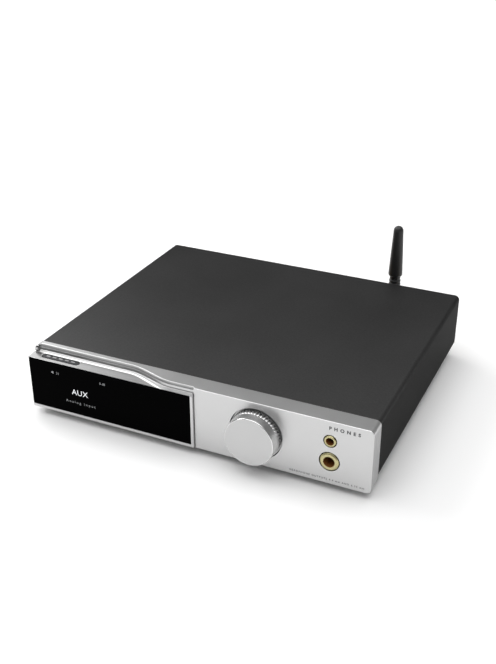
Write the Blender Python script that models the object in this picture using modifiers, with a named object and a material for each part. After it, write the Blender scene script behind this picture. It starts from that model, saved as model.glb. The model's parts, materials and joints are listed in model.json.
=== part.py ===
"""Desktop DAC and amplifier: a silver front panel on a low black case, built in metres with +Z up.

Dimensions are in millimetres in the case frame: X across (0 in the middle), Y back from the front
face of the panel, Z up from the panel's lower edge. place() turns them into metres in the world,
where Z = 0 is the underside of the feet and Y = 0 is the middle of the overall depth.
"""

import math

import bmesh
import bpy
from mathutils import Matrix, Vector

# Driving dimensions, mm
WIDTH = 210.0
PANEL_H = 38.6
PANEL_T = 11.65
DEPTH = 174.5  # panel face to the rear edge of the cover
FLOOR_GAP = 4.0  # panel's lower edge to the table
CORNER = 3.0
COVER_SIDE = 0.2  # how far the cover stands inside the panel's outline
COVER_T = 1.6
COVER_LOW = 2.6  # underside of the cover
FLANGE_IN = 12.0  # width of the cover's inward flange
GAP = 0.3
MID_Y = 91.5  # middle of the overall depth, in the case frame

BEZEL_FRONT = -1.45
BEZEL_RIGHT = 2.3
BEZEL_BACK = 8.0
GLASS = (-105.0, 0.75, 2.6, 33.6)  # x0, x1, z0, z1
LEDGE_Z = 33.85
LEDGE_RISE = 0.09
CREST_Z = 35.65
CREST_SLOPE = 1.28
RIDGE_LEFT = -102.0
RIM_Y = 5.1  # front of the panel's narrow rim at the left end
WAVE_Y = 6.9  # pocket wall left of the wave
WAVE_FRONT = -0.04  # pocket wall right of the wave
POCKET_CHAMFER = 1.2
WAVE_RIGHT = -11.0
WAVE_LEFT = -41.0

KNOB_X = 39.4
KNOB_Z = 19.35
KNOB_R = 14.3
KNOB_FRONT = -9.2
KNOB_BACK = 0.9
KNURL_R = 14.7
KNURL_TEETH = 48
RECESS_R = 15.45
RECESS_D = 2.2

JACK_X = 81.55
JACK_BIG_Z = 13.86
JACK_SMALL_Z = 26.52

REAR_OUT = DEPTH - 1.0  # outer face of the rear panel
REAR_T = 2.0
TRAY_Z = COVER_LOW + COVER_T + GAP
TRAY_T = 1.4
BOARD_Z = 11.0
BOARD_T = 1.6

ANT_X = 57.6
ANT_Z = 25.0
ANT_PIVOT_Y = DEPTH + 13.0
ROCKER_X = -52.0
ROCKER_Z = 20.5
ROCKER_TILT = math.radians(10.0)
INLET_X = -80.0
POST_X = (-32.0, -16.0, 0.0, 16.0)
POST_Z = 20.5
RCA_X = 35.0
RCA_Z = (12.6, 28.4)
COAX = (92.0, 26.4)
OPTICAL = (76.5, 26.6)
USB = (76.5, 12.6)
OPTICAL_FLAP_Z = OPTICAL[1] + 2.9

for old in list(bpy.data.objects):
    bpy.data.objects.remove(old)

parts = bpy.data.collections.new("desktop_dac")
tools = bpy.data.collections.new("cutters")
bpy.context.scene.collection.children.link(parts)
bpy.context.scene.collection.children.link(tools)
tools.hide_render = True


def place(x, y, z):
    return Vector(((x) * 0.001, (y - MID_Y) * 0.001, (z + FLOOR_GAP) * 0.001))


def material(name, colour, metallic, rough, extra=None):
    made = bpy.data.materials.new(name)
    made.use_nodes = True
    node = made.node_tree.nodes["Principled BSDF"]
    node.inputs["Base Color"].default_value = (*colour, 1.0)
    node.inputs["Metallic"].default_value = metallic
    node.inputs["Roughness"].default_value = rough
    for key, value in (extra or {}).items():
        node.inputs[key].default_value = value
    made.diffuse_color = (*colour, 1.0)
    return made


SILVER = material("silver_aluminium", (0.62, 0.63, 0.63), 1.0, 0.33)
SILVER_KNOB = material("silver_knob", (0.60, 0.60, 0.60), 1.0, 0.28)
BLACK_CASE = material("black_painted_steel", (0.035, 0.035, 0.036), 0.1, 0.48)
BLACK_PANEL = material("black_rear_steel", (0.03, 0.03, 0.031), 0.1, 0.5)
ZINC = material("zinc_steel", (0.52, 0.53, 0.54), 1.0, 0.36)
GLASS_BLACK = material("display_glass", (0.003, 0.003, 0.0035), 0.0, 0.06)
PLASTIC = material("black_plastic", (0.018, 0.018, 0.019), 0.0, 0.42)
RUBBER = material("black_rubber", (0.02, 0.02, 0.02), 0.0, 0.75)
GOLD = material("gold_plate", (0.83, 0.58, 0.22), 1.0, 0.25)
NICKEL = material("nickel_plate", (0.66, 0.65, 0.62), 1.0, 0.25)
BOARD = material("board_green", (0.02, 0.10, 0.045), 0.0, 0.5)
BADGE = material("badge_dark", (0.045, 0.047, 0.05), 0.3, 0.35)
HEAT = material("heat_sink_black", (0.05, 0.05, 0.052), 0.8, 0.45)
YELLOW_TAPE = material("transformer_tape", (0.75, 0.55, 0.06), 0.0, 0.5)
CAP_SLEEVE = material("capacitor_sleeve", (0.02, 0.035, 0.09), 0.0, 0.4)
FERRITE = material("ferrite", (0.055, 0.055, 0.06), 0.0, 0.6)
RED_PLASTIC = material("red_plastic", (0.42, 0.015, 0.015), 0.0, 0.3)
RIBBON = material("ribbon_white", (0.62, 0.62, 0.60), 0.0, 0.5)
MODULE = material("display_frame", (0.30, 0.31, 0.32), 0.4, 0.4)


def finish_mesh(name, bm, at, into, look=None):
    """A mesh in mm about the point `at` becomes an object in metres with its origin there."""
    bmesh.ops.recalc_face_normals(bm, faces=bm.faces)
    bmesh.ops.scale(bm, vec=(0.001, 0.001, 0.001), verts=bm.verts)
    mesh = bpy.data.meshes.new(name)
    bm.to_mesh(mesh)
    bm.free()
    made = bpy.data.objects.new(name, mesh)
    made.location = place(*at)
    into.objects.link(made)
    if look:
        mesh.materials.append(look)
    return made


def part(name, bm, look, at=(0, 0, 0)):
    return finish_mesh(name, bm, at, parts, look)


def tool(bm, at=(0, 0, 0)):
    made = finish_mesh("tool_%03d" % len(tools.objects), bm, at, tools)
    made.hide_render = True
    made.display_type = "WIRE"
    return made


def boolean(target, bm, operation, at=(0, 0, 0)):
    mod = target.modifiers.new(operation.lower(), "BOOLEAN")
    mod.operation = operation
    mod.solver = "EXACT"
    mod.object = tool(bm, at)
    return mod


def cut(target, bm, at=(0, 0, 0)):
    return boolean(target, bm, "DIFFERENCE", at)


def join(target, bm, at=(0, 0, 0)):
    return boolean(target, bm, "UNION", at)


def slab(x, y, z):
    """A box from three (low, high) pairs."""
    size = (x[1] - x[0], y[1] - y[0], z[1] - z[0])
    middle = ((x[0] + x[1]) / 2, (y[0] + y[1]) / 2, (z[0] + z[1]) / 2)
    bm = bmesh.new()
    bmesh.ops.create_cube(bm, size=1.0, matrix=Matrix.Translation(middle) @ Matrix.Diagonal((*size, 1.0)))
    return bm


def soften(bm, axis, radius, segments=3, pick=None):
    """Rounds the edges that run along one axis (0 = X, 1 = Y, 2 = Z)."""
    edges = []
    for edge in bm.edges:
        run = (edge.verts[1].co - edge.verts[0].co).normalized()
        middle = (edge.verts[0].co + edge.verts[1].co) / 2
        if abs(run[axis]) > 0.999 and (pick is None or pick(middle)):
            edges.append(edge)
    bmesh.ops.bevel(bm, geom=edges, offset=radius, segments=segments, profile=0.5, affect="EDGES")
    return bm


def round_box(x, y, z, axis, radius, segments=3, pick=None):
    return soften(slab(x, y, z), axis, radius, segments, pick)


TURN = {
    "X": Matrix.Rotation(math.radians(90), 4, "Y"),
    "Y": Matrix.Rotation(math.radians(-90), 4, "X"),
    "Z": Matrix.Identity(4),
}


def rod(axis, radius, low, high, centre=(0, 0, 0), steps=32, radius2=None):
    """A cylinder or cone from `low` to `high` along an axis through `centre`."""
    bm = bmesh.new()
    shift = Matrix.Translation((0, 0, (low + high) / 2))
    bmesh.ops.create_cone(
        bm,
        cap_ends=True,
        segments=steps,
        radius1=radius,
        radius2=radius if radius2 is None else radius2,
        depth=high - low,
        matrix=Matrix.Translation(centre) @ TURN[axis] @ shift,
    )
    return bm


def merged(*shapes):
    """Several shapes that don't touch, as one mesh for a cutter."""
    bm = bmesh.new()
    for shape in shapes:
        holder = bpy.data.meshes.new("holder")
        shape.to_mesh(holder)
        bm.from_mesh(holder)
        shape.free()
        bpy.data.meshes.remove(holder)
    return bm


def turned(name, profile, look, at, axis="Y", steps=48, into=None):
    """A lathe-turned piece. The profile is (radius, station) pairs along the axis from `at`."""
    area = 0.0
    count = len(profile)
    for index in range(count):
        r0, t0 = profile[index]
        r1, t1 = profile[(index + 1) % count]
        area += r0 * t1 - r1 * t0
    outline = profile if area < 0 else profile[::-1]
    bm = bmesh.new()
    points = [bm.verts.new((r * 0.001, 0.0, t * 0.001)) for r, t in outline]
    for index in range(count):
        first, second = points[index], points[(index + 1) % count]
        if abs(first.co.x) < 1e-9 and abs(second.co.x) < 1e-9:
            continue
        bm.edges.new((first, second))
    mesh = bpy.data.meshes.new(name)
    bm.to_mesh(mesh)
    bm.free()
    made = bpy.data.objects.new(name, mesh)
    made.location = place(*at)
    made.rotation_euler = TURN[axis].to_euler()
    (into or parts).objects.link(made)
    mesh.materials.append(look)
    mod = made.modifiers.new("screw", "SCREW")
    mod.axis = "Z"
    mod.angle = math.tau
    mod.steps = steps
    mod.render_steps = steps
    mod.use_merge_vertices = True
    mod.merge_threshold = 0.00001
    return made


def extruded(outline, low, high, plane="XY"):
    """A closed 2-D outline swept from `low` to `high` across its plane."""
    bm = bmesh.new()
    order = {"XY": (0, 1, 2), "XZ": (0, 2, 1), "YZ": (1, 2, 0)}[plane]
    points = []
    for a, b in outline:
        co = [0.0, 0.0, 0.0]
        co[order[0]] = a
        co[order[1]] = b
        co[order[2]] = low
        points.append(bm.verts.new(co))
    face = bm.faces.new(points)
    grown = bmesh.ops.extrude_face_region(bm, geom=[face])
    moved = [item for item in grown["geom"] if isinstance(item, bmesh.types.BMVert)]
    step = [0.0, 0.0, 0.0]
    step[order[2]] = high - low
    bmesh.ops.translate(bm, vec=step, verts=moved)
    return bm


def arc(cx, cy, radius, start, end, steps):
    made = []
    for index in range(steps + 1):
        angle = math.radians(start + (end - start) * index / steps)
        made.append((cx + radius * math.cos(angle), cy + radius * math.sin(angle)))
    return made


def rounded_outline(x0, x1, z0, z1, radius, steps=5):
    points = arc(x1 - radius, z0 + radius, radius, -90, 0, steps)
    points += arc(x1 - radius, z1 - radius, radius, 0, 90, steps)
    points += arc(x0 + radius, z1 - radius, radius, 90, 180, steps)
    points += arc(x0 + radius, z0 + radius, radius, 180, 270, steps)
    return points


def wave(x):
    """The pocket's upper wall: a long S from deep in the panel's top to the panel's face."""
    t = min(max((WAVE_RIGHT - x) / (WAVE_RIGHT - WAVE_LEFT), 0.0), 1.0)
    return WAVE_FRONT + (WAVE_Y - WAVE_FRONT) * t * t * (3.0 - 2.0 * t)


def wave_line(x0, x1, offset, steps=28):
    """Points along the wave, closer together where it bends."""
    stations = [x0]
    for index in range(steps + 1):
        x = WAVE_LEFT - 2.0 + (WAVE_RIGHT - WAVE_LEFT + 4.0) * index / steps
        if x0 < x < x1:
            stations.append(x)
    stations.append(x1)
    return [(x, wave(x) + offset) for x in stations]


def lofted(sections):
    """A closed solid through matching (x, [(y, z), ...]) sections."""
    bm = bmesh.new()
    rings = [[bm.verts.new((x, y, z)) for y, z in points] for x, points in sections]
    count = len(rings[0])
    for a, b in zip(rings, rings[1:]):
        for k in range(count):
            bm.faces.new((a[k], a[(k + 1) % count], b[(k + 1) % count], b[k]))
    bm.faces.new(rings[0][::-1])
    bm.faces.new(rings[-1])
    bmesh.ops.recalc_face_normals(bm, faces=bm.faces)
    return bm


def above_ledge(back):
    """Section of the space above the ledge: a shallow slope, a small fillet and a steep run up to the crest."""
    top = back - 0.25
    depth = top - BEZEL_FRONT
    rise = CREST_Z - LEDGE_Z
    bend = max((CREST_SLOPE * depth - rise) / (CREST_SLOPE - LEDGE_RISE), 0.02)
    reach = min(0.75, bend * 0.9)
    low = math.atan(LEDGE_RISE)
    high = math.atan2(rise - LEDGE_RISE * bend, depth - bend)
    points = [(-6.0, LEDGE_Z), (BEZEL_FRONT, LEDGE_Z)]
    y0 = BEZEL_FRONT + bend
    z0 = LEDGE_Z + LEDGE_RISE * bend
    for index in range(7):
        u = index / 6
        a = (1 - u) ** 2
        c = u * u
        y = y0 - a * reach * math.cos(low) + c * reach * math.cos(high)
        z = z0 - a * reach * math.sin(low) + c * reach * math.sin(high)
        points.append((y, z))
    return points + [(top, CREST_Z), (top, 45.0), (-6.0, 45.0)]


# Front panel: one machined block with the bezel's pocket, the knob's recess and the two jack holes
panel = part(
    "front_panel",
    extruded(rounded_outline(-WIDTH / 2, WIDTH / 2, 0.0, PANEL_H, CORNER), 0.0, PANEL_T, "XZ"),
    SILVER,
)
cut(panel, slab((-110, BEZEL_RIGHT + GAP), (-5, BEZEL_BACK + GAP), (-5, LEDGE_Z + 1.0)))
upper = wave_line(-102.3, BEZEL_RIGHT + GAP, 0.0)
cut(panel, extruded([(-102.3, -6.0)] + upper + [(BEZEL_RIGHT + GAP, -6.0)], 30.0, 45.0))
cut(panel, slab((-110, -102.29), (-5, RIM_Y), (30, 45)))
foot = PANEL_H - POCKET_CHAMFER
bevels = [(x, [(y - 2, foot - 2), (y + 3.2, foot + 3.2), (y - 2, foot + 3.2)]) for x, y in upper]
cut(panel, lofted(bevels))
rim = [(RIM_Y - 2, foot - 2), (RIM_Y + 3.2, foot + 3.2), (RIM_Y - 2, foot + 3.2)]
cut(panel, lofted([(-110.0, rim), (-102.31, rim)]))
cut(panel, slab((-98, -6), (6, 14), (6.5, 30.5)))
cut(panel, rod("Y", RECESS_R, -3, RECESS_D, (KNOB_X, 0, KNOB_Z), 64))
cut(panel, rod("Y", 3.8, -3, 14, (KNOB_X, 0, KNOB_Z), 24))
cut(panel, rod("Y", 5.7, -3, 14, (JACK_X, 0, JACK_BIG_Z), 32))
cut(panel, rod("Y", 3.7, -3, 14, (JACK_X, 0, JACK_SMALL_Z), 24))
cut(panel, round_box((24, 98), (8.6, 14), (6, 33), 1, 2.0))

# Display bezel: block in front, and a ledge on top that runs up to a crest along the wave
bezel = part(
    "display_bezel",
    soften(
        slab((-105, BEZEL_RIGHT), (BEZEL_FRONT, BEZEL_BACK), (0.2, CREST_Z)),
        0,
        0.9,
        2,
        lambda m: m.z < 1 and m.y < 0,
    ),
    SILVER,
)
stations = [(x, above_ledge(y)) for x, y in wave_line(-110.0, 10.0, -0.26)]
cut(bezel, lofted(stations))
back_line = [(10.0, 12.0), (-110.0, 12.0)] + wave_line(-110.0, 10.0, -0.26)
cut(bezel, extruded(back_line, LEDGE_Z + 0.7, 45.0))
cut(bezel, slab((-110, RIDGE_LEFT), (RIM_Y - 0.6, 12), (LEDGE_Z + 0.7, 45)))
cut(bezel, slab((-110, GLASS[1] + 0.15), (-4, 0.2), (GLASS[2] - 0.15, GLASS[3] + 0.12)))
cut(bezel, slab((-97, -7), (-2, 12), (6, 31)))
badge_outline = arc(-74.4, 2.97, 2.0, -90, 90, 8) + arc(-96.4, 2.97, 2.0, 90, 270, 8)
pocket = extruded(badge_outline, LEDGE_Z - 0.8, 36.0)
for vert in pocket.verts:
    vert.co.z += (vert.co.y - BEZEL_FRONT) * LEDGE_RISE if vert.co.z < 35 else 0.0
cut(bezel, pocket)

badge_small = arc(-74.4, 2.97, 1.85, -90, 90, 8) + arc(-96.4, 2.97, 1.85, 90, 270, 8)
badge = extruded(badge_small, LEDGE_Z - 0.65, LEDGE_Z + 0.15)
for vert in badge.verts:
    vert.co.z += (vert.co.y - BEZEL_FRONT) * LEDGE_RISE
part("badge_plate", badge, BADGE)

glass = slab((GLASS[0], GLASS[1]), (BEZEL_FRONT - 0.02, 0.0), (GLASS[2], GLASS[3]))
part("display_window", soften(glass, 2, 0.3, 2, lambda m: m.x < -100 and m.y < -1), GLASS_BLACK)

part("display_module", slab((-96.0, -8.0), (0.4, 3.4), (7.0, 30.0)), MODULE)
board = part("display_board", slab((-97.0, -7.0), (8.8, 10.4), (7.5, 29.5)), BOARD)
cut(board, merged(rod("Y", 1.1, 5, 14, (-93.5, 0, 11)), rod("Y", 1.1, 5, 14, (-10.5, 0, 11))))
connector = part("display_connector", slab((-62.0, -42.0), (3.7, 8.5), (15.5, 19.5)), PLASTIC)
cut(connector, slab((-60.5, -43.5), (5.2, 7.0), (14, 21)))

# Cover: a C-shaped shell, open underneath between its two flanges
half = WIDTH / 2 - COVER_SIDE
top = PANEL_H - COVER_SIDE
outer = arc(half - CORNER, top - CORNER, CORNER, 0, 90, 5)
outer += arc(-half + CORNER, top - CORNER, CORNER, 90, 180, 5)
outer += arc(-half + CORNER, COVER_LOW + CORNER, CORNER, 180, 270, 5)
inner_r = CORNER - COVER_T
left_in = arc(-half + CORNER, COVER_LOW + CORNER, inner_r, 270, 180, 4)
left_in += arc(-half + CORNER, top - CORNER, inner_r, 180, 90, 4)
right_in = arc(half - CORNER, top - CORNER, inner_r, 90, 0, 4)
right_in += arc(half - CORNER, COVER_LOW + CORNER, inner_r, 0, -90, 4)
right_out = arc(half - CORNER, COVER_LOW + CORNER, CORNER, -90, 0, 5)
lip_x = half - FLANGE_IN
section = outer + [(-lip_x, COVER_LOW), (-lip_x, COVER_LOW + COVER_T)] + left_in + right_in
section += [(lip_x, COVER_LOW + COVER_T), (lip_x, COVER_LOW)] + right_out
cover = part("cover_shell", extruded(section, PANEL_T + GAP, DEPTH, "XZ"), BLACK_CASE)
SCREWS = ((-98.0, 34.0), (98.0, 34.0), (-98.0, 152.0), (98.0, 152.0))
for sx, sy in SCREWS:
    cut(cover, rod("Z", 1.9, 0, 8, (sx, sy, 0), 14))
    cut(cover, rod("Z", 3.9, COVER_LOW - 0.4, COVER_LOW + 1.2, (sx, sy, 0), 14, 1.9))

# Bottom tray: floor with a front lip, pressed posts for the boards and screw bosses
tray_half = half - COVER_T - GAP
tray_edge = tray_half - 0.6
floor = slab((-tray_edge, tray_edge), (PANEL_T + GAP, REAR_OUT - REAR_T - GAP), (TRAY_Z, TRAY_Z + TRAY_T))
tray = part("bottom_tray", floor, ZINC)
join(tray, slab((-tray_edge, tray_edge), (PANEL_T + GAP, PANEL_T + 1.9), (TRAY_Z + 0.5, 12.0)))
POSTS = ((-94, 64), (-46, 64), (-94, 146), (-46, 146), (-24, 64), (94, 64), (-24, 146), (94, 146))
for px, py in POSTS:
    join(tray, rod("Z", 3.0, TRAY_Z + 0.5, BOARD_Z - 0.1, (px, py, 0), 10))
for sx, sy in SCREWS:
    join(tray, rod("Z", 2.9, TRAY_Z + 0.5, TRAY_Z + 5.0, (sx, sy, 0), 12))
    cut(tray, rod("Z", 1.7, TRAY_Z - 2.0, TRAY_Z + 4.0, (sx, sy, 0), 12))
notch = slab((JACK_X - 7.5, JACK_X + 7.5), (8, 18), (TRAY_Z + TRAY_T + 0.2, 20))
cut(tray, notch)
vent = [round_box((-12, 28), (y, y + 3.0), (0, 10), 2, 1.4, 2) for y in (84, 91, 98, 105, 112, 119)]
cut(tray, merged(*vent))
for number, (sx, sy) in enumerate(SCREWS, 1):
    profile = [(0, COVER_LOW + 0.1), (2.8, COVER_LOW + 0.1), (2.8, COVER_LOW + 0.25)]
    profile += [(1.5, COVER_LOW + 1.2), (1.5, TRAY_Z + 3.4), (0, TRAY_Z + 3.4)]
    screw = turned("base_screw_%d" % number, profile, ZINC, (sx, sy, 0), "Z", 14)
    slots = slab((-1.6, 1.6), (-0.3, 0.3), (COVER_LOW - 1, COVER_LOW + 0.8))
    cut(screw, slots, (sx, sy, 0))

# Rear panel and its openings
rear = part(
    "rear_panel",
    extruded(
        rounded_outline(-tray_half, tray_half, TRAY_Z, top - COVER_T - GAP, inner_r - GAP, 3),
        REAR_OUT - REAR_T,
        REAR_OUT,
        "XZ",
    ),
    BLACK_PANEL,
)
cut(rear, slab((INLET_X - 13.8, INLET_X + 13.8), (160, 180), (10.4, 30.6)))
cut(rear, slab((ROCKER_X - 6.6, ROCKER_X + 6.6), (160, 180), (ROCKER_Z - 9.6, ROCKER_Z + 9.6)))
round_holes = [rod("Y", 3.9, 160, 180, (x, 0, POST_Z), 16) for x in POST_X]
round_holes += [rod("Y", 4.0, 160, 180, (RCA_X, 0, z), 18) for z in RCA_Z]
round_holes += [rod("Y", 4.0, 160, 180, (COAX[0], 0, COAX[1]), 18)]
round_holes += [rod("Y", 3.5, 160, 180, (ANT_X, 0, ANT_Z), 16)]
cut(rear, merged(*round_holes))
cut(rear, slab((OPTICAL[0] - 5.2, OPTICAL[0] + 5.2), (160, 180), (OPTICAL[1] - 5.2, OPTICAL[1] + 5.2)))
cut(rear, slab((USB[0] - 6.3, USB[0] + 6.3), (160, 180), (USB[1] - 5.8, USB[1] + 5.8)))

# Feet
for number, (fx, fy) in enumerate(((-86, 28), (86, 28), (-86, DEPTH - 22), (86, DEPTH - 22)), 1):
    profile = [(0, -FLOOR_GAP), (6.6, -FLOOR_GAP), (7.4, -FLOOR_GAP + 0.6), (8.0, COVER_LOW - 0.6)]
    profile += [(7.6, COVER_LOW - 0.2), (3.2, COVER_LOW - 0.2), (0, COVER_LOW - 0.2)]
    foot = turned("foot_%d" % number, profile, RUBBER, (fx, fy, 0), "Z", 20)
    cut(foot, rod("Z", 3.2, -FLOOR_GAP - 1, -FLOOR_GAP + 2.2, (0, 0, 0), 12), (fx, fy, 0))

# Volume knob: smooth front, toothed skirt, cup behind for the encoder's nut
knob_profile = [(0, KNOB_FRONT), (KNOB_R - 0.9, KNOB_FRONT), (KNOB_R - 0.25, KNOB_FRONT + 0.25)]
knob_profile += [(KNOB_R, KNOB_FRONT + 0.9), (KNOB_R, -3.4), (KNURL_R, -2.9), (KNURL_R, KNOB_BACK - 0.3)]
knob_profile += [(KNURL_R - 0.3, KNOB_BACK), (9.5, KNOB_BACK), (9.5, -4.0), (5.2, -4.0), (5.2, KNOB_BACK)]
knob_profile += [(3.3, KNOB_BACK), (3.3, -6.0), (0, -6.0)]
knob = turned("volume_knob", knob_profile, SILVER_KNOB, (KNOB_X, 0, KNOB_Z), "Y", 48)
teeth = []
for index in range(KNURL_TEETH):
    angle = math.tau * (index + 0.5) / KNURL_TEETH
    cutter = bmesh.new()
    spin = Matrix.Rotation(angle, 4, "Y") @ Matrix.Translation((KNURL_R + 0.12, -1.0, 0))
    bmesh.ops.create_cone(
        cutter,
        cap_ends=True,
        segments=4,
        radius1=0.72,
        radius2=0.72,
        depth=5.2,
        matrix=spin @ TURN["Y"],
    )
    teeth.append(cutter)
cut(knob, merged(*teeth), (KNOB_X, 0, KNOB_Z))

# Encoder behind the knob: the plunger slides in its bushing and the shaft turns with the knob
shaft_profile = [(0, -5.7), (2.6, -5.7), (3.0, -5.3), (3.0, 12.6), (0, 12.6)]
shaft = turned("encoder_shaft", shaft_profile, NICKEL, (KNOB_X, 0, KNOB_Z), "Y", 24)
nut = part("encoder_nut", rod("Y", 5.6, RECESS_D + 0.1, RECESS_D + 2.1, (0, 0, 0), 6), ZINC, (KNOB_X, 0, KNOB_Z))
cut(nut, rod("Y", 3.75, -3, 14, (0, 0, 0), 24), (KNOB_X, 0, KNOB_Z))
cut(panel, rod("Y", 7.0, 0, RECESS_D + 2.4, (KNOB_X, 0, KNOB_Z), 24))
bushing = turned(
    "encoder_body",
    [(3.25, RECESS_D - 0.1), (3.55, RECESS_D - 0.1), (3.55, 9.4), (6.4, 9.4), (6.4, 18.6), (3.25, 18.6)],
    PLASTIC,
    (KNOB_X, 0, KNOB_Z),
    "Y",
    24,
)
join(bushing, slab((-6.8, 6.8), (11.9, 18.6), (-6.8, 6.8)), (KNOB_X, 0, KNOB_Z))
cut(bushing, rod("Y", 3.25, 0, 17.0, (0, 0, 0), 24), (KNOB_X, 0, KNOB_Z))
plunger = [(0, 12.9), (2.9, 12.9), (2.9, 15.6), (0, 15.6)]
turned("encoder_plunger", plunger, NICKEL, (KNOB_X, 0, KNOB_Z), "Y", 20)

# Headphone jacks: a gold bushing in front and a black contact housing behind each
big = [(3.2, -0.5), (4.6, -0.5), (5.3, 0.0), (5.4, 0.5), (5.4, 11.6), (3.2, 11.6)]
turned("jack_635_bushing", big, GOLD, (JACK_X, 0, JACK_BIG_Z), "Y", 32)
small = [(2.25, -0.4), (3.0, -0.4), (3.35, 0.0), (3.4, 0.4), (3.4, 11.6), (2.25, 11.6)]
turned("jack_44_bushing", small, GOLD, (JACK_X, 0, JACK_SMALL_Z), "Y", 24)
HOUSE_Y = 14.0
house = slab((-7.2, 7.2), (HOUSE_Y, 43.0), (-6.2, 6.2))
body_635 = part("jack_635_housing", house, PLASTIC, (JACK_X, 0, JACK_BIG_Z))
cut(body_635, rod("Y", 3.2, 10, 41.0, (0, 0, 0), 24), (JACK_X, 0, JACK_BIG_Z))
house = slab((-5.4, 5.4), (HOUSE_Y, 32.0), (-4.6, 4.6))
body_44 = part("jack_44_housing", house, PLASTIC, (JACK_X, 0, JACK_SMALL_Z + 0.3))
cut(body_44, rod("Y", 2.25, 10, 30.5, (0, 0, -0.3), 20), (JACK_X, 0, JACK_SMALL_Z + 0.3))

# Circuit boards
control = part("control_board", slab((25, 97), (12.1, 13.7), (12.4, 31.0)), BOARD)
encoder_room = slab((KNOB_X - 7.2, KNOB_X + 7.2), (5, 20), (KNOB_Z - 7.2, KNOB_Z + 7.2))
jack_holes = [rod("Y", 5.7, 5, 20, (JACK_X, 0, JACK_BIG_Z), 24)]
jack_holes += [rod("Y", 3.6, 5, 20, (JACK_X, 0, JACK_SMALL_Z), 20)]
cut(control, merged(encoder_room, *jack_holes))
main = part("main_board", slab((-28, 98), (60, 157.5), (BOARD_Z, BOARD_Z + BOARD_T)), BOARD)
supply = part("supply_board", slab((-98, -42), (60, 150), (BOARD_Z, BOARD_Z + BOARD_T)), BOARD)
cut(main, merged(*[rod("Z", 1.6, 5, 20, (x, y, 0), 16) for x, y in POSTS[4:]]))
cut(supply, merged(*[rod("Z", 1.6, 5, 20, (x, y, 0), 16) for x, y in POSTS[:4]]))
ON = BOARD_Z + BOARD_T + 0.15

# Parts standing on the boards
core = slab((-88, -58), (84, 110), (ON, ON + 17.5))
transformer = part("transformer", soften(core, 2, 1.0, 2), YELLOW_TAPE)
join(transformer, slab((-92, -54), (89, 105), (ON + 3.0, ON + 14.5)))
for number, cx in enumerate((-86.0, -68.0), 1):
    can = [(0, ON), (7.4, ON), (7.4, ON + 1.4), (7.1, ON + 1.7), (7.1, ON + 2.2), (7.4, ON + 2.5)]
    can += [(7.4, ON + 20.0), (7.0, ON + 20.4), (0, ON + 20.4)]
    turned("capacitor_%d" % number, can, CAP_SLEEVE, (cx, 134.0, 0), "Z", 20)
sink = part("heat_sink", slab((-14, 30), (84, 122), (ON, ON + 3.5)), HEAT)
join(sink, slab((-14, 30), (84, 122), (ON + 3.0, ON + 18.0)))
fins = [slab((-12.4 + 4.9 * i, -9.2 + 4.9 * i), (80, 126), (ON + 3.5, ON + 20)) for i in range(9)]
cut(sink, merged(*fins))
for number, cx in enumerate((-6.0, 18.0), 1):
    coil = round_box((cx - 6.5, cx + 6.5), (128, 141), (ON, ON + 8.5), 2, 1.5, 2)
    part("output_coil_%d" % number, coil, FERRITE)
chip = slab((48, 66), (92, 110), (ON, ON + 1.8))
part("converter_chip", chip, PLASTIC)
ribbon = [(14.2, 29.2), (22, 29.2), (62, ON + 6.2), (72, ON + 6.2), (72, ON + 5.4), (61.6, ON + 5.4)]
ribbon += [(21.7, 28.4), (14.2, 28.4)]
part("ribbon_cable", extruded(ribbon, 52.0, 68.0, "YZ"), RIBBON)
header = slab((51, 69), (66, 73), (ON, ON + 5.2))
part("ribbon_header", header, PLASTIC)

# Mains inlet: flange outside, shell through the panel, deep recess with three blades
inlet = part("mains_inlet", round_box((-15.5, 15.5), (REAR_OUT + 0.1, REAR_OUT + 2.6), (-12, 12), 1, 2.0), PLASTIC,
             (INLET_X, 0, ROCKER_Z))
join(inlet, slab((-13.5, 13.5), (REAR_OUT - 20, REAR_OUT + 1), (-9.8, 9.8)), (INLET_X, 0, ROCKER_Z))
mouth = slab((-12.0, 12.0), (REAR_OUT - 17, REAR_OUT + 6), (-8.2, 8.2))
cut(inlet, soften(mouth, 1, 3.6, 1, lambda m: m.z > 0), (INLET_X, 0, ROCKER_Z))
blades = [slab((x - 1.0, x + 1.0), (REAR_OUT - 18, REAR_OUT - 3), (z - 2.0, z + 2.0))
          for x, z in ((-7.0, -2.2), (0.0, 2.4), (7.0, -2.2))]
join(inlet, merged(*blades), (INLET_X, 0, ROCKER_Z))

# Power rocker in its frame
frame = part("rocker_frame", round_box((-7.6, 7.6), (REAR_OUT + 0.1, REAR_OUT + 1.9), (-10.6, 10.6), 1, 1.0), PLASTIC,
             (ROCKER_X, 0, ROCKER_Z))
join(frame, slab((-6.3, 6.3), (REAR_OUT - 14, REAR_OUT + 1), (-9.3, 9.3)), (ROCKER_X, 0, ROCKER_Z))
cut(frame, slab((-5.0, 5.0), (REAR_OUT - 9, REAR_OUT + 4), (-8.0, 8.0)), (ROCKER_X, 0, ROCKER_Z))
PIVOT_Y = REAR_OUT - 1.5
slope = [(-4.5, -7.1), (3.4, -6.9), (2.0, 0.0), (3.4, 6.9), (-4.5, 7.1), (-6.0, 0.0)]
paddle = extruded(slope, -4.7, 4.7, "YZ")
bmesh.ops.rotate(paddle, cent=(0, 0, 0), matrix=Matrix.Rotation(-ROCKER_TILT, 3, "X"), verts=paddle.verts)
part("power_rocker", paddle, PLASTIC, (ROCKER_X, PIVOT_Y, ROCKER_Z))

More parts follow.
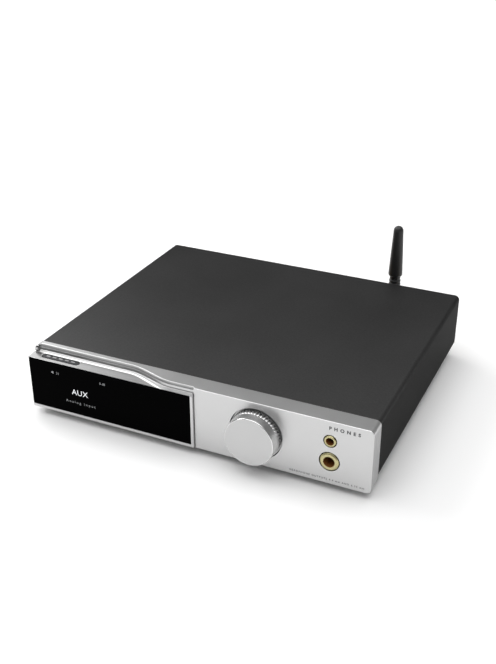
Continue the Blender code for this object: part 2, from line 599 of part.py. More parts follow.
# Sockets on the rear panel
def phono(name, x, z):
    profile = [(1.7, REAR_OUT + 9.0), (2.9, REAR_OUT + 9.0), (2.9, REAR_OUT + 1.5), (3.4, REAR_OUT + 1.5)]
    profile += [(3.4, REAR_OUT + 9.2), (4.1, REAR_OUT + 9.2), (4.1, REAR_OUT + 2.2), (5.6, REAR_OUT + 2.2)]
    profile += [(5.6, REAR_OUT + 0.1), (3.8, REAR_OUT + 0.1), (3.8, REAR_OUT - 12.0), (0, REAR_OUT - 12.0)]
    profile += [(0, REAR_OUT - 6.0), (1.7, REAR_OUT - 6.0)]
    return turned(name, profile, GOLD, (x, 0, z), "Y", 18)


phono("phono_right", RCA_X, RCA_Z[0])
phono("phono_left", RCA_X, RCA_Z[1])
phono("coaxial_socket", *COAX)

optical = part("optical_socket", slab((-4.9, 4.9), (REAR_OUT - 12, REAR_OUT + 1.2), (-4.9, 4.9)), PLASTIC,
               (OPTICAL[0], 0, OPTICAL[1]))
cut(optical, slab((-3.4, 3.4), (REAR_OUT - 9, REAR_OUT + 3), (-3.9, 3.6)), (OPTICAL[0], 0, OPTICAL[1]))
flap = slab((-3.1, 3.1), (-0.5, 0.3), (-6.6, 0.4))
part("optical_flap", flap, PLASTIC, (OPTICAL[0], REAR_OUT + 0.7, OPTICAL_FLAP_Z))

usb = part("usb_socket", slab((-6.0, 6.0), (REAR_OUT - 15, REAR_OUT + 0.8), (-5.5, 5.5)), NICKEL,
           (USB[0], 0, USB[1]))
usb_mouth = slab((-4.3, 4.3), (REAR_OUT - 10, REAR_OUT + 3), (-4.0, 4.0))
cut(usb, soften(usb_mouth, 1, 1.6, 1, lambda m: m.z > 0), (USB[0], 0, USB[1]))
join(usb, slab((-2.9, 2.9), (REAR_OUT - 12, REAR_OUT - 0.6), (-1.5, 1.7)), (USB[0], 0, USB[1]))

# Speaker terminals: a collar with a hollow stud, and a screw cap that turns on it
for number, x in enumerate(POST_X, 1):
    colour = RED_PLASTIC if number % 2 else PLASTIC
    stud = [(2.05, REAR_OUT + 12.0), (2.9, REAR_OUT + 12.0), (2.9, REAR_OUT + 2.9), (6.6, REAR_OUT + 2.9)]
    stud += [(6.6, REAR_OUT + 0.1), (3.7, REAR_OUT + 0.1), (3.7, REAR_OUT - 9.0), (0, REAR_OUT - 9.0)]
    stud += [(0, REAR_OUT + 1.0), (2.05, REAR_OUT + 1.0)]
    turned("post_base_%d" % number, stud, GOLD, (x, 0, POST_Z), "Y", 16)
    cap = [(3.2, REAR_OUT + 5.0), (6.4, REAR_OUT + 5.0), (6.7, REAR_OUT + 5.3), (6.7, REAR_OUT + 15.6)]
    cap += [(5.9, REAR_OUT + 16.4), (2.15, REAR_OUT + 16.4), (2.15, REAR_OUT + 13.0), (3.2, REAR_OUT + 13.0)]
    made = turned("post_cap_%d" % number, cap, colour, (x, 0, POST_Z), "Y", 24)
    grooves = []
    for index in range(12):
        angle = math.tau * index / 12
        centre = (7.2 * math.cos(angle), 0, 7.2 * math.sin(angle))
        grooves.append(rod("Y", 0.9, REAR_OUT + 3, REAR_OUT + 18, centre, 6))
    cut(made, merged(*grooves), (x, 0, POST_Z))

# Antenna: threaded socket, collar that swivels on it, knuckle that tilts in the collar, whip
socket = [(0, REAR_OUT - 8), (3.3, REAR_OUT - 8), (3.3, REAR_OUT + 0.1), (4.6, REAR_OUT + 0.1)]
socket += [(4.6, REAR_OUT + 2.0), (3.1, REAR_OUT + 2.0), (3.1, REAR_OUT + 8.0), (2.2, REAR_OUT + 8.0)]
socket += [(2.2, REAR_OUT + 3.0), (0, REAR_OUT + 3.0)]
turned("antenna_socket", socket, GOLD, (ANT_X, 0, ANT_Z), "Y", 16)
collar_profile = [(3.5, REAR_OUT + 2.6), (4.6, REAR_OUT + 2.6), (4.9, REAR_OUT + 2.9), (4.9, REAR_OUT + 7.6)]
collar_profile += [(4.6, REAR_OUT + 7.9), (4.2, ANT_PIVOT_Y - 4.4), (0, ANT_PIVOT_Y - 4.4)]
collar_profile += [(0, REAR_OUT + 8.6), (3.5, REAR_OUT + 8.6)]
collar = turned("antenna_collar", collar_profile, PLASTIC, (ANT_X, 0, ANT_Z), "Y", 20)
cheek = []
for side in (-1, 1):
    low, high = sorted((side * 2.2, side * 3.9))
    shape = rod("X", 3.9, low, high, (0, ANT_PIVOT_Y, 0), 16)
    cheek.append(shape)
join(collar, merged(*cheek), (ANT_X, 0, ANT_Z))
arms = [slab(sorted((side * 2.2, side * 3.9)), (ANT_PIVOT_Y - 5.0, ANT_PIVOT_Y), (-3.88, 3.88)) for side in (-1, 1)]
join(collar, merged(*arms), (ANT_X, 0, ANT_Z))

ANT_AT = (ANT_X, ANT_PIVOT_Y, ANT_Z)
knuckle = part("antenna_knuckle", rod("X", 3.8, -1.9, 1.9, (0, 0, 0), 16), PLASTIC, ANT_AT)
join(knuckle, slab((-1.9, 1.9), (-3.6, 3.6), (0, 5.2)), ANT_AT)
stem = [(0, 4.6), (3.9, 4.6), (3.9, 8.6), (3.5, 8.9), (3.5, 9.3), (3.85, 9.6), (3.85, 10.9), (3.4, 11.3)]
stem += [(3.6, 12.2), (3.6, 13.6), (0, 13.6)]
stem_bm = bmesh.new()
rings = [stem_bm.verts.new((r, 0, t)) for r, t in stem]
edges = [stem_bm.edges.new((rings[i], rings[i + 1])) for i in range(len(rings) - 1)]
bmesh.ops.spin(
    stem_bm,
    geom=rings + edges,
    cent=(0, 0, 0),
    axis=(0, 0, 1),
    angle=math.tau,
    steps=20,
    use_merge=True,
)
bmesh.ops.remove_doubles(stem_bm, verts=stem_bm.verts, dist=0.001)
join(knuckle, stem_bm, ANT_AT)
whip = [(0, 13.8), (4.0, 13.8), (4.65, 14.7), (4.7, 15.4), (3.25, 45.4), (3.0, 46.9), (2.4, 48.2)]
whip += [(1.4, 49.0), (0, 49.2)]
turned("antenna_whip", whip, RUBBER, ANT_AT, "Z", 24)
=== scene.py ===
import json
import math

import bmesh
import bpy
from mathutils import Matrix, Vector


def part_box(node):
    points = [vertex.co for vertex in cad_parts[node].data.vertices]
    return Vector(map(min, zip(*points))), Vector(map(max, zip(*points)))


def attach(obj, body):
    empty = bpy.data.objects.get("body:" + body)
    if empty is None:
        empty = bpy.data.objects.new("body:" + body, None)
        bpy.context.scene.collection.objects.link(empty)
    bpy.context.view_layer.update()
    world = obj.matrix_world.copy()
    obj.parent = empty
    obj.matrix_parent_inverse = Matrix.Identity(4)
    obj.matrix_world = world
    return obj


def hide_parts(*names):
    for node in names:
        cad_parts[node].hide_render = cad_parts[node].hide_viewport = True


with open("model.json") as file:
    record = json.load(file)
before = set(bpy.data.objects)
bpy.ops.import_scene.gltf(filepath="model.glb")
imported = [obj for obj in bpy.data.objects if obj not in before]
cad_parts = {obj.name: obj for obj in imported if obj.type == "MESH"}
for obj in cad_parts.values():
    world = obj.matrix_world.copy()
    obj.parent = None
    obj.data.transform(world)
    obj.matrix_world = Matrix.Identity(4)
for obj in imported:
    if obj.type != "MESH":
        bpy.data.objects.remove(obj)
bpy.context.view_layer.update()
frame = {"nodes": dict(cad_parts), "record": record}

MM = 0.001
NODES = frame["nodes"]
RECORD = frame["record"]
BODY_OF = {n: b for b, members in RECORD["behaviour"]["bodies"].items() for n in members}
SLOT_OF = {row["node"]: row["material_slot"] for row in RECORD["subparts"]}

PANEL_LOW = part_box("front_panel")[0]
GLASS_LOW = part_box("display_window")[0]
KNOB_LOW, KNOB_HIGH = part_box("volume_knob")
BADGE_LOW, BADGE_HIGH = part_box("badge_plate")
WHIP_LOW, WHIP_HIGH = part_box("antenna_whip")

scene = bpy.context.scene
scene.view_settings.view_transform = "Standard"


def at(x, y, z):
    """A point given in mm from the panel's face, the middle of the case and the panel's lower edge."""
    return Vector((x * MM, PANEL_LOW.y + y * MM, PANEL_LOW.z + z * MM))


# ---------------------------------------------------------------- materials


class Look:
    """A Principled material with its node tree, built step by step."""

    def __init__(self, name, colour, metallic=0.0, rough=0.5, **extra):
        self.material = bpy.data.materials.new(name)
        self.material.use_nodes = True
        self.tree = self.material.node_tree
        self.shader = self.tree.nodes["Principled BSDF"]
        self.shader.inputs["Base Color"].default_value = (*colour, 1.0)
        self.shader.inputs["Metallic"].default_value = metallic
        self.shader.inputs["Roughness"].default_value = rough
        self.colour = colour
        self.rough = rough
        for key, value in extra.items():
            self.shader.inputs[key.replace("_", " ")].default_value = value
        coordinates = self.tree.nodes.new("ShaderNodeTexCoord")
        self.place = coordinates.outputs["Object"]
        self.last_normal = None

    def node(self, kind, **values):
        made = self.tree.nodes.new(kind)
        for key, value in values.items():
            setattr(made, key, value)
        return made

    def link(self, source, target):
        self.tree.links.new(source, target)

    def noise(self, scale, detail=3.0, stretch=None, rough=0.55):
        vector = self.place
        if stretch:
            mapping = self.node("ShaderNodeMapping")
            mapping.inputs["Scale"].default_value = stretch
            self.link(vector, mapping.inputs["Vector"])
            vector = mapping.outputs["Vector"]
        made = self.node("ShaderNodeTexNoise")
        made.inputs["Scale"].default_value = scale
        made.inputs["Detail"].default_value = detail
        made.inputs["Roughness"].default_value = rough
        self.link(vector, made.inputs["Vector"])
        return made.outputs["Fac"]

    def spread(self, fac, low, high, start=0.3, end=0.7):
        made = self.node("ShaderNodeMapRange")
        made.inputs["From Min"].default_value = start
        made.inputs["From Max"].default_value = end
        made.inputs["To Min"].default_value = low
        made.inputs["To Max"].default_value = high
        self.link(fac, made.inputs["Value"])
        return made.outputs["Result"]

    def vary_rough(self, fac, amount):
        rough = self.spread(fac, self.rough - amount, self.rough + amount)
        self.link(rough, self.shader.inputs["Roughness"])
        return self

    def vary_colour(self, fac, amount, tint=(1.0, 1.0, 1.0)):
        ramp = self.node("ShaderNodeValToRGB")
        low = [max(c * (1.0 - amount) * t, 0.0) for c, t in zip(self.colour, tint)]
        high = [min(c * (1.0 + amount), 1.0) for c in self.colour]
        ramp.color_ramp.elements[0].position = 0.3
        ramp.color_ramp.elements[0].color = (*low, 1.0)
        ramp.color_ramp.elements[1].position = 0.7
        ramp.color_ramp.elements[1].color = (*high, 1.0)
        self.link(fac, ramp.inputs["Fac"])
        self.link(ramp.outputs["Color"], self.shader.inputs["Base Color"])
        return self

    def bump(self, fac, strength, distance):
        made = self.node("ShaderNodeBump")
        made.inputs["Strength"].default_value = strength
        made.inputs["Distance"].default_value = distance
        self.link(fac, made.inputs["Height"])
        if self.last_normal:
            self.link(self.last_normal, made.inputs["Normal"])
        self.last_normal = made.outputs["Normal"]
        self.link(self.last_normal, self.shader.inputs["Normal"])
        return self


def blasted(name, colour, rough):
    """Anodised aluminium with a bead-blasted grain."""
    look = Look(name, colour, 1.0, rough, Specular_Tint=(0.7, 0.7, 0.7, 1.0))
    look.vary_rough(look.noise(60.0, 4.0), 0.02)
    look.vary_colour(look.noise(25.0, 2.0), 0.012)
    look.bump(look.noise(2600.0, 2.0), 0.10, 0.00004)
    return look.material


def turned_metal(name, colour, rough, scale=900.0):
    """Lathe-turned metal: rings round the Y axis, from noise stretched along the cut."""
    look = Look(name, colour, 1.0, rough)
    look.vary_rough(look.noise(120.0, 3.0), 0.03)
    look.bump(look.noise(scale, 2.0, (0.02, 1.0, 0.02)), 0.08, 0.00003)
    return look.material


def anodised(name, colour, rough, grain=1800.0, strength=0.16, edge=0.45):
    """Dark anodised aluminium with a fine blasted grain. The edge value keeps it dark at low angles."""
    look = Look(name, colour, 1.0, rough, Specular_Tint=(edge, edge, edge, 1.0))
    look.vary_rough(look.noise(18.0, 3.0), 0.02)
    look.vary_colour(look.noise(grain * 0.5, 3.0), 0.10)
    look.bump(look.noise(grain, 3.0), strength, 0.00006)
    return look.material


def plastic(name, colour, rough, grain=1400.0, strength=0.10, **extra):
    look = Look(name, colour, 0.0, rough, **extra)
    look.vary_rough(look.noise(90.0, 3.0), 0.04)
    look.vary_colour(look.noise(40.0, 2.0), 0.06)
    look.bump(look.noise(grain, 2.0), strength, 0.00005)
    return look.material


def plated(name, colour, rough):
    look = Look(name, colour, 1.0, rough)
    look.vary_rough(look.noise(200.0, 3.0), 0.04)
    look.vary_colour(look.noise(140.0, 2.0), 0.04, (1.0, 0.97, 0.93))
    look.bump(look.noise(1500.0, 2.0), 0.03, 0.00003)
    return look.material


def board_look(name):
    """Green solder mask with faint tracks."""
    look = Look(name, (0.018, 0.085, 0.035), 0.0, 0.38)
    wave = look.node("ShaderNodeTexWave")
    wave.inputs["Scale"].default_value = 190.0
    wave.inputs["Distortion"].default_value = 6.0
    wave.inputs["Detail Scale"].default_value = 2.0
    look.link(look.place, wave.inputs["Vector"])
    look.vary_colour(wave.outputs["Fac"], 0.25)
    look.bump(wave.outputs["Fac"], 0.12, 0.00005)
    return look.material


def glow(name, colour, strength):
    look = Look(name, (0.0, 0.0, 0.0), 0.0, 0.4)
    look.shader.inputs["Emission Color"].default_value = (*colour, 1.0)
    speckle = look.noise(900.0, 1.0)
    flicker = look.spread(speckle, strength * 0.97, strength * 1.03)
    look.link(flicker, look.shader.inputs["Emission Strength"])
    return look.material


SILVER = blasted("blasted_silver", (0.59, 0.59, 0.59), 0.33)
# Painted shade: a darker copy of the panel's silver for the flat ledge and the pocket's chamfer,
# standing in for the shade these faces show
LEDGE_SHADE = blasted("ledge_silver_painted_shade", (0.27, 0.27, 0.27), 0.36)
# Painted highlight: a lighter copy of the panel's silver for the bezel's crest and the panel's top
# front edge
CREST_HIGHLIGHT = blasted("crest_silver_painted_highlight", (0.80, 0.80, 0.80), 0.42)
KNOB_FACE = blasted("knob_face_silver", (0.52, 0.52, 0.52), 0.33)
KNOB_SIDE = turned_metal("knob_side_silver", (0.68, 0.68, 0.68), 0.22)
CASE = anodised("case_black", (0.094, 0.094, 0.094), 0.40, edge=0.27)
REAR = anodised("rear_black", (0.060, 0.060, 0.061), 0.45)
ZINC = blasted("zinc_plate", (0.55, 0.56, 0.57), 0.36)
RUBBER = plastic("foot_rubber", (0.020, 0.020, 0.020), 0.78, 900.0, 0.25)
WHIP_SKIN = plastic("antenna_rubber", (0.010, 0.010, 0.010), 0.42, 1100.0, 0.10)
PLASTIC = plastic("socket_plastic", (0.016, 0.016, 0.017), 0.40)
GLOSSY = plastic("gloss_black_plastic", (0.012, 0.012, 0.013), 0.20, 1400.0, 0.03)
RED = plastic("terminal_red", (0.40, 0.010, 0.012), 0.28, 1400.0, 0.04)
GOLD = plated("gold_plating", (0.86, 0.58, 0.20), 0.22)
PALE_GOLD = plated("pale_gold_plating", (0.52, 0.48, 0.27), 0.28)
AMBER = plastic("amber_bore", (0.26, 0.11, 0.03), 0.40)
NICKEL = plated("nickel_plating", (0.64, 0.63, 0.60), 0.26)
HEAT = turned_metal("heat_sink_black", (0.05, 0.05, 0.052), 0.4)
TAPE = plastic("yellow_tape", (0.72, 0.50, 0.05), 0.42, 300.0, 0.2)
SLEEVE = plastic("capacitor_sleeve", (0.02, 0.032, 0.085), 0.30)
FERRITE = plastic("ferrite_powder", (0.055, 0.055, 0.06), 0.62, 2000.0, 0.3)
FLAT_CABLE = plastic("ribbon_grey", (0.60, 0.60, 0.585), 0.48, 700.0, 0.15)
FRAME_STEEL = blasted("display_frame_steel", (0.35, 0.36, 0.37), 0.4)
BOARD = board_look("board_green")
BADGE = plated("badge_dark", (0.026, 0.027, 0.029), 0.34)
BADGE_MARK = plated("badge_mark", (0.20, 0.204, 0.21), 0.36)
INK = plastic("panel_ink", (0.055, 0.057, 0.06), 0.55)
LIT = glow("display_white", (0.95, 0.98, 1.0), 1.05)
DIM = glow("display_grey", (0.95, 0.98, 1.0), 0.30)

glass_look = Look("display_black_glass", (0.0004, 0.0004, 0.0005), 0.0, 0.05, Specular_IOR_Level=0.01)
glass_look.vary_rough(glass_look.noise(45.0, 3.0), 0.012)
glass_look.bump(glass_look.noise(30.0, 1.0), 0.02, 0.00002)
GLASS = glass_look.material

LOOKS = {
    "silver_aluminium": SILVER,
    "silver_knob": KNOB_SIDE,
    "black_case": CASE,
    "zinc_steel": ZINC,
    "display_glass": GLASS,
    "black_plastic": PLASTIC,
    "red_plastic": RED,
    "rubber": RUBBER,
    "gold_plate": GOLD,
    "nickel_plate": NICKEL,
    "circuit_board": BOARD,
    "badge": BADGE,
    "heat_sink": HEAT,
    "yellow_tape": TAPE,
    "capacitor_sleeve": SLEEVE,
    "ferrite": FERRITE,
    "ribbon": FLAT_CABLE,
    "display_frame": FRAME_STEEL,
}


# ---------------------------------------------------------------- pieces


def piece(name, mesh, look, body, stands_for=()):
    """Puts a mesh into the scene as a piece that rides on a body."""
    made = bpy.data.objects.new(name, mesh)
    scene.collection.objects.link(made)
    if look and not mesh.materials:
        mesh.materials.append(look)
    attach(made, body)
    if stands_for:
        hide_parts(*stands_for)
    return made


def shade(mesh, angle=32.0):
    for polygon in mesh.polygons:
        polygon.use_smooth = True
    mesh.set_sharp_from_angle(angle=math.radians(angle))


def welded(node):
    """A CAD node's shape as a clean mesh: doubled points merged and flat regions made whole."""
    bm = bmesh.new()
    bm.from_mesh(NODES[node].data)
    bmesh.ops.remove_doubles(bm, verts=bm.verts, dist=0.000004)
    bmesh.ops.dissolve_limit(
        bm,
        angle_limit=math.radians(0.4),
        verts=bm.verts,
        edges=bm.edges,
        use_dissolve_boundaries=False,
    )
    return bm


def refined(node, look=None, bevel=0.15, segments=2, angle=35.0):
    """A detailed copy of a CAD node with eased edges. It stands for the node and rides on its body."""
    bm = welded(node)
    mesh = bpy.data.meshes.new(node + "_fine")
    bm.to_mesh(mesh)
    bm.free()
    holder = bpy.data.objects.new(node + "_holder", mesh)
    scene.collection.objects.link(holder)
    if bevel:
        mod = holder.modifiers.new("ease", "BEVEL")
        mod.width = bevel * MM
        mod.segments = segments
        mod.limit_method = "ANGLE"
        mod.angle_limit = math.radians(angle)
        mod.use_clamp_overlap = False
        mod.miter_outer = "MITER_ARC"
    graph = bpy.context.evaluated_depsgraph_get()
    final = bpy.data.meshes.new_from_object(holder.evaluated_get(graph))
    bpy.data.objects.remove(holder)
    shade(final)
    final.materials.clear()
    slot = SLOT_OF[node]
    made = piece(node + "_fine", final, look or LOOKS[slot], BODY_OF[node], [node])
    weigh = made.modifiers.new("weigh", "WEIGHTED_NORMAL")
    weigh.keep_sharp = True
    return made


def lathe(name, profile, centre, axis, steps, look, body, stands_for=(), dent=None):
    """A turned piece: (radius, station) pairs in mm round an axis through centre, a point in metres.
    dent(angle, index) in mm is taken off the radius, for teeth and flutes."""
    mesh = bpy.data.meshes.new(name)
    bm = bmesh.new()
    rings = []
    for index, (radius, station) in enumerate(profile):
        ring = []
        count = 1 if radius < 1e-6 else steps
        for k in range(count):
            angle = math.tau * k / steps
            r = radius - (dent(angle, index) if dent and radius > 1e-6 else 0.0)
            flat = (r * math.cos(angle) * MM, r * math.sin(angle) * MM, station * MM)
            if axis == "Y":
                co = Vector((flat[0], flat[2], -flat[1]))
            else:
                co = Vector(flat)
            ring.append(bm.verts.new(co + centre))
        rings.append(ring)
    closed = len(profile) > 2 and profile[0] == profile[-1]
    for a, b in zip(rings, rings[1:]):
        for k in range(steps):
            corners = [a[k % len(a)], a[(k + 1) % len(a)], b[(k + 1) % len(b)], b[k % len(b)]]
            unique = list(dict.fromkeys(corners))
            if len(unique) > 2:
                bm.faces.new(unique)
    if closed:
        bmesh.ops.remove_doubles(bm, verts=bm.verts, dist=1e-7)
    bmesh.ops.recalc_face_normals(bm, faces=bm.faces)
    bm.to_mesh(mesh)
    bm.free()
    shade(mesh)
    return piece(name, mesh, look, body, stands_for)


FONT_PER_CAPITAL = 1.38


def lettering(name, words, left, size, look, thick=0.0, spacing=1.0):
    """Generic lettering on the front: `left` is its lower left point, size its letter height in mm."""
    curve = bpy.data.curves.new(name, "FONT")
    curve.body = words
    curve.size = size * MM * FONT_PER_CAPITAL
    curve.space_character = spacing
    curve.offset = thick * MM
    curve.resolution_u = 3
    turn = Matrix.Rotation(math.radians(90), 4, "X")
    holder = bpy.data.objects.new(name + "_holder", curve)
    scene.collection.objects.link(holder)
    holder.matrix_world = Matrix.Translation(left) @ turn
    bpy.context.view_layer.update()
    graph = bpy.context.evaluated_depsgraph_get()
    mesh = bpy.data.meshes.new_from_object(holder.evaluated_get(graph))
    mesh.transform(holder.matrix_world)
    bpy.data.objects.remove(holder)
    return piece(name, mesh, look, "chassis")


def refinish_or_paint_light(made, look, chosen):
    """Gives a second material to the faces that `chosen` picks. It serves real second finishes and also
    painted shade and painted highlights.
    """
    made.data.materials.append(look)
    index = len(made.data.materials) - 1
    for polygon in made.data.polygons:
        if chosen(polygon):
            polygon.material_index = index


def height(polygon):
    """A face's height in mm over the panel's lower edge."""
    return (polygon.center.z - PANEL_LOW.z) / MM


def faces_up_front(polygon):
    return polygon.normal.z > 0.3 and polygon.normal.y < -0.3


# Front: panel, bezel, glass and badge. The pocket's chamfer and the ledge get a darker silver as
# painted shade;
# the panel's top edge beyond the pocket and the bezel's crest get a lighter one as a painted highlight.
POCKET_RIGHT = 2.6
CHAMFER_FOOT = 36.0
LEDGE_FRONT = 33.0
LEVEL = 0.985
SEAM_CLOSED = 0.2
RIGHT_SIDE_DEPTH = 0.5

panel = refined("front_panel", SILVER, 0.42, 2)


def top_edge(polygon):
    return faces_up_front(polygon) and height(polygon) > CHAMFER_FOOT


def by_pocket(polygon):
    return polygon.center.x < POCKET_RIGHT * MM


# Painted shade on the pocket's chamfer, painted highlight on the panel's top edge beyond the pocket
refinish_or_paint_light(panel, LEDGE_SHADE, lambda p: top_edge(p) and by_pocket(p))
refinish_or_paint_light(panel, CREST_HIGHLIGHT, lambda p: top_edge(p) and not by_pocket(p))

bezel = refined("display_bezel", SILVER, 0.22, 2)
bezel_right = max(vertex.co.x for vertex in bezel.data.vertices)
for vertex in bezel.data.vertices:
    if vertex.co.x > bezel_right - RIGHT_SIDE_DEPTH * MM:
        vertex.co.x += SEAM_CLOSED * MM
# Painted shade on the bezel's flat ledge, painted highlight on the bezel's crest
refinish_or_paint_light(bezel, LEDGE_SHADE, lambda p: height(p) > LEDGE_FRONT and p.normal.z > LEVEL)
refinish_or_paint_light(bezel, CREST_HIGHLIGHT, lambda p: height(p) > LEDGE_FRONT and faces_up_front(p))
refined("display_window", GLASS, 0.12, 2)
refined("badge_plate", BADGE, 0.12, 2)

# Volume knob: satin face, turned side, a toothed skirt
KNOB_AT = Vector(((KNOB_LOW.x + KNOB_HIGH.x) / 2, PANEL_LOW.y, (KNOB_LOW.z + KNOB_HIGH.z) / 2))
KNOB_FRONT = (KNOB_LOW.y - PANEL_LOW.y) / MM
KNOB_BACK = (KNOB_HIGH.y - PANEL_LOW.y) / MM
KNURL_R = (KNOB_HIGH.x - KNOB_LOW.x) / 2 / MM
KNOB_R = KNURL_R - 0.4
TEETH = 48
TOOTH_DEPTH = 0.55
EDGE_R = 0.55
EDGE_LAG = 0.02
FACE_DEPTH = 0.5
SKIRT_START = -3.5

knob_line = [(0.0, KNOB_FRONT), (6.0, KNOB_FRONT), (KNOB_R - EDGE_R - 0.2, KNOB_FRONT)]
knob_line += [(KNOB_R - EDGE_R, KNOB_FRONT + EDGE_LAG)]
for step in range(1, 6):
    turn = math.radians(90) * step / 5
    radius = KNOB_R - EDGE_R + EDGE_R * math.sin(turn)
    knob_line.append((radius, KNOB_FRONT + EDGE_LAG + EDGE_R - EDGE_R * math.cos(turn)))
knob_line += [(KNOB_R, -7.0), (KNOB_R, -5.0), (KNOB_R, SKIRT_START - 0.5), (KNOB_R, SKIRT_START)]
skirt_from = len(knob_line)
knob_line += [(KNOB_R + 0.1, SKIRT_START + 0.25), (KNURL_R - 0.05, SKIRT_START + 0.7)]
knob_line += [(KNURL_R, SKIRT_START + 1.0), (KNURL_R, -1.5), (KNURL_R, -0.5)]
knob_line += [(KNURL_R, KNOB_BACK - 0.35), (KNURL_R - 0.2, KNOB_BACK - 0.05)]
skirt_to = len(knob_line)
knob_line += [(KNURL_R - 1.0, KNOB_BACK), (9.5, KNOB_BACK), (9.5, -4.0), (5.2, -4.0), (5.2, KNOB_BACK)]
knob_line += [(3.3, KNOB_BACK), (3.3, -6.0), (0.0, -6.0)]


def tooth(angle, index):
    if not skirt_from <= index < skirt_to:
        return 0.0
    share = 0.5 + 0.5 * math.cos(angle * TEETH)
    return TOOTH_DEPTH * share ** 1.6


knob = lathe(
    "volume_knob_fine",
    knob_line,
    KNOB_AT,
    "Y",
    TEETH * 10,
    KNOB_SIDE,
    "knob",
    ["volume_knob"],
    tooth,
)
refinish_or_paint_light(knob, KNOB_FACE, lambda p: p.normal.y < -0.99 and p.center.y < KNOB_LOW.y + FACE_DEPTH * MM)


def in_bore(polygon, middle):
    """True for a face that looks at the axis through `middle`, along Y."""
    outward = Vector((polygon.center.x - middle.x, 0.0, polygon.center.z - middle.z))
    return abs(polygon.normal.y) < 0.5 and polygon.normal.dot(outward) < 0.0


# Headphone jacks: pale gold, with amber bores
for node in ("jack_635_bushing", "jack_44_bushing"):
    bushing = refined(node, PALE_GOLD, 0.10, 2)
    low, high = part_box(node)
    middle = (low + high) / 2
    refinish_or_paint_light(bushing, AMBER, lambda p: in_bore(p, middle))

# Case
refined("cover_shell", CASE, 0.18, 2)
refined("rear_panel", REAR, 0.12, 2)
refined("bottom_tray", ZINC, 0.12, 2)
for number in range(1, 5):
    refined("foot_%d" % number, RUBBER, 0.3, 2)
    refined("base_screw_%d" % number, ZINC, 0.08, 1)

# Rear connectors
refined("mains_inlet", PLASTIC, 0.25, 2)
refined("rocker_frame", PLASTIC, 0.25, 2)
refined("power_rocker", GLOSSY, 0.35, 2)
for node in ("phono_left", "phono_right", "coaxial_socket"):
    refined(node, GOLD, 0.12, 2)
refined("optical_socket", PLASTIC, 0.2, 2)
refined("optical_flap", PLASTIC, 0.1, 2)
refined("usb_socket", NICKEL, 0.2, 2)
for number in range(1, 5):
    refined("post_base_%d" % number, GOLD, 0.15, 2)
    refined("post_cap_%d" % number, RED if number % 2 else GLOSSY, 0.2, 2)

# Antenna
refined("antenna_socket", GOLD, 0.12, 2)
refined("antenna_collar", PLASTIC, 0.2, 2)
refined("antenna_knuckle", PLASTIC, 0.2, 2)
WHIP_AT = Vector(((WHIP_LOW.x + WHIP_HIGH.x) / 2, (WHIP_LOW.y + WHIP_HIGH.y) / 2, WHIP_LOW.z))
whip_tall = (WHIP_HIGH.z - WHIP_LOW.z) / MM
WHIP_FOOT_R = 4.68
WHIP_TIP_R = 3.25
WHIP_FOOT = 1.7
whip_line = [(0.0, 0.0), (3.7, 0.0), (4.1, 0.15), (4.5, 0.6), (4.66, 1.1), (WHIP_FOOT_R, WHIP_FOOT)]
for step in range(1, 9):
    share = step / 8
    radius = WHIP_FOOT_R - (WHIP_FOOT_R - WHIP_TIP_R) * share
    whip_line.append((radius, WHIP_FOOT + (whip_tall - WHIP_TIP_R - WHIP_FOOT) * share))
for step in range(1, 9):
    turn = math.radians(90) * step / 8
    station = whip_tall - WHIP_TIP_R + WHIP_TIP_R * math.sin(turn)
    whip_line.append((WHIP_TIP_R * math.cos(turn), station))
lathe(
    "antenna_whip_fine",
    whip_line,
    WHIP_AT,
    "Z",
    64,
    WHIP_SKIN,
    "antenna_whip",
    ["antenna_whip"],
)

# Everything inside keeps its CAD shape and takes a finished material
for name, node in NODES.items():
    if not node.hide_render:
        node.data.materials.clear()
        node.data.materials.append(LOOKS[SLOT_OF[name]])

# Display: a generic input name, a volume figure and a level
FACE = (GLASS_LOW.y - PANEL_LOW.y) / MM - 0.02
lettering("display_input", "AUX", at(-76.5, FACE, 15.6), 3.75, LIT, -0.02, 1.04)
lettering("display_source", "Analog input", at(-81.0, FACE, 9.8), 1.7, DIM, 0.0, 1.62)
lettering("display_volume", "31", at(-86.4, FACE, 26.4), 1.6, DIM, 0.0, 1.1)
lettering("display_level", "0 dB", at(-57.0, FACE, 26.8), 1.5, DIM, 0.0, 1.0)

speaker = bmesh.new()
outline = [(-89.6, 26.8), (-89.0, 26.8), (-88.2, 26.2), (-88.2, 28.2), (-89.0, 27.6), (-89.6, 27.6)]
speaker.faces.new([speaker.verts.new(at(x, FACE, z)) for x, z in outline])
speaker_mesh = bpy.data.meshes.new("display_speaker_icon")
speaker.to_mesh(speaker_mesh)
speaker.free()
piece("display_speaker_icon", speaker_mesh, DIM, "chassis")

# Panel lettering: plain words for what the sockets are
lettering("panel_label", "PHONES", at(80.7, -0.02, 33.6), 2.0, INK, 0.12, 1.95)
NOTE = "HEADPHONE OUTPUTS 4.4 mm AND 6.35 mm"
lettering("panel_note", NOTE, at(59.4, -0.02, 2.2), 1.1, INK, 0.03, 1.42)

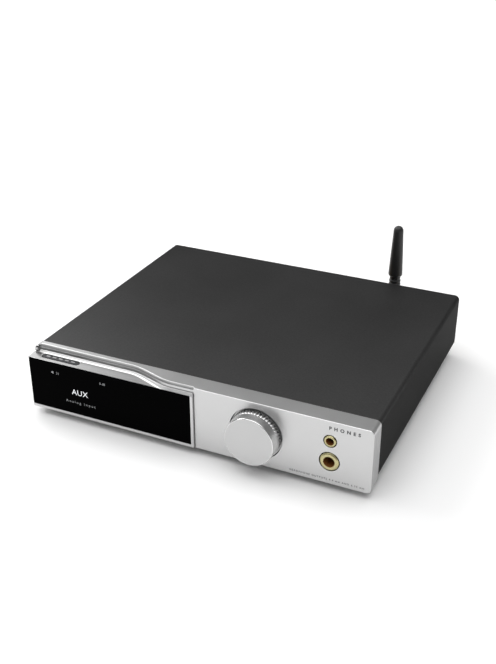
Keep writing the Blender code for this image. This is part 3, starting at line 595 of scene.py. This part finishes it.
# Badge: five plain bars in a row, on a plate that slopes with the ledge
BARS = 5
BAR_PITCH = 4.2
BAR_SIZE = (2.6, 1.1, 0.12)
PLATE_T = 0.8
bars = bmesh.new()
depth = (BADGE_LOW.y + BADGE_HIGH.y) / 2
slope = (BADGE_HIGH.z - BADGE_LOW.z - PLATE_T * MM) / (BADGE_HIGH.y - BADGE_LOW.y)
rise = BADGE_LOW.z + PLATE_T * MM + (depth - BADGE_LOW.y) * slope
tilt = Matrix.Rotation(math.atan(slope), 4, "X")
size = Matrix.Diagonal((*[side * MM for side in BAR_SIZE], 1.0))
for index in range(BARS):
    middle = (BADGE_LOW.x + BADGE_HIGH.x) / 2 + (index - BARS // 2) * BAR_PITCH * MM
    shift = Matrix.Translation((middle, depth, rise - 0.03 * MM))
    bmesh.ops.create_cube(bars, size=1.0, matrix=shift @ tilt @ size)
bmesh.ops.bevel(bars, geom=list(bars.edges), offset=0.05 * MM, segments=2, affect="EDGES")
bars_mesh = bpy.data.meshes.new("badge_bars")
bars.to_mesh(bars_mesh)
bars.free()
shade(bars_mesh)
piece("badge_bars", bars_mesh, BADGE_MARK, "chassis")

# ---------------------------------------------------------------- floor, light, camera

floor_mesh = bpy.data.meshes.new("floor")
floor_bm = bmesh.new()
bmesh.ops.create_grid(floor_bm, x_segments=1, y_segments=1, size=6.0)
floor_bm.to_mesh(floor_mesh)
floor_bm.free()
floor = bpy.data.objects.new("floor", floor_mesh)
scene.collection.objects.link(floor)
floor_look = Look("floor_white", (0.93, 0.93, 0.93), 0.0, 0.7, Specular_IOR_Level=0.2)
floor_mesh.materials.append(floor_look.material)


def studio_sky(low, high, turn_low, turn_high):
    """A studio dome: a dimmer ring round the sides and a broad bright ceiling."""
    world = bpy.data.worlds.new("studio")
    scene.world = world
    world.use_nodes = True
    tree = world.node_tree
    background = tree.nodes["Background"]
    background.inputs["Color"].default_value = (1.0, 1.0, 1.0, 1.0)
    direction = tree.nodes.new("ShaderNodeTexCoord")
    split = tree.nodes.new("ShaderNodeSeparateXYZ")
    ring = tree.nodes.new("ShaderNodeMapRange")
    ring.interpolation_type = "SMOOTHSTEP"
    ring.inputs["From Min"].default_value = math.sin(math.radians(turn_low))
    ring.inputs["From Max"].default_value = math.sin(math.radians(turn_high))
    ring.inputs["To Min"].default_value = low
    ring.inputs["To Max"].default_value = high
    tree.links.new(direction.outputs["Generated"], split.inputs["Vector"])
    tree.links.new(split.outputs["Z"], ring.inputs["Value"])
    tree.links.new(ring.outputs["Result"], background.inputs["Strength"])


def softbox(name, position, target, width, height, radiance):
    """A rectangular area light of a given brightness."""
    data = bpy.data.lights.new(name, "AREA")
    data.shape = "RECTANGLE"
    data.size = width
    data.size_y = height
    data.energy = radiance * math.pi * width * height
    made = bpy.data.objects.new(name, data)
    made.location = position
    made.rotation_mode = "QUATERNION"
    made.rotation_quaternion = (Vector(target) - Vector(position)).to_track_quat("-Z", "Y")
    scene.collection.objects.link(made)
    return made


studio_sky(0.29, 2.2, 45.5, 60.0)
softbox("left_softbox", (-1.22, 0.30, 1.00), (0.0, 0.0, 0.0), 1.5, 0.6, 4.6)
softbox("front_card", (-0.66, -1.14, 1.20), (0.0, 0.0, 0.0), 0.9, 0.55, 0.8)

LENS = 52.1
AZIMUTH = math.radians(24.88)
ELEVATION = math.radians(27.60)
ROLL = math.radians(0.078)
camera_data = bpy.data.cameras.new("camera")
camera_data.lens = LENS
camera_data.sensor_width = 36.0
camera_data.clip_start = 0.01
camera_data.clip_end = 30.0
camera = bpy.data.objects.new("camera", camera_data)
scene.collection.objects.link(camera)
camera.location = at(216.42, -390.85, 305.06)
back = Vector((
    math.sin(AZIMUTH) * math.cos(ELEVATION),
    -math.cos(AZIMUTH) * math.cos(ELEVATION),
    math.sin(ELEVATION),
))
camera.rotation_mode = "QUATERNION"
roll = Matrix.Rotation(-ROLL, 3, "Z").to_quaternion()
camera.rotation_quaternion = (-back).to_track_quat("-Z", "Y") @ roll
scene.camera = camera
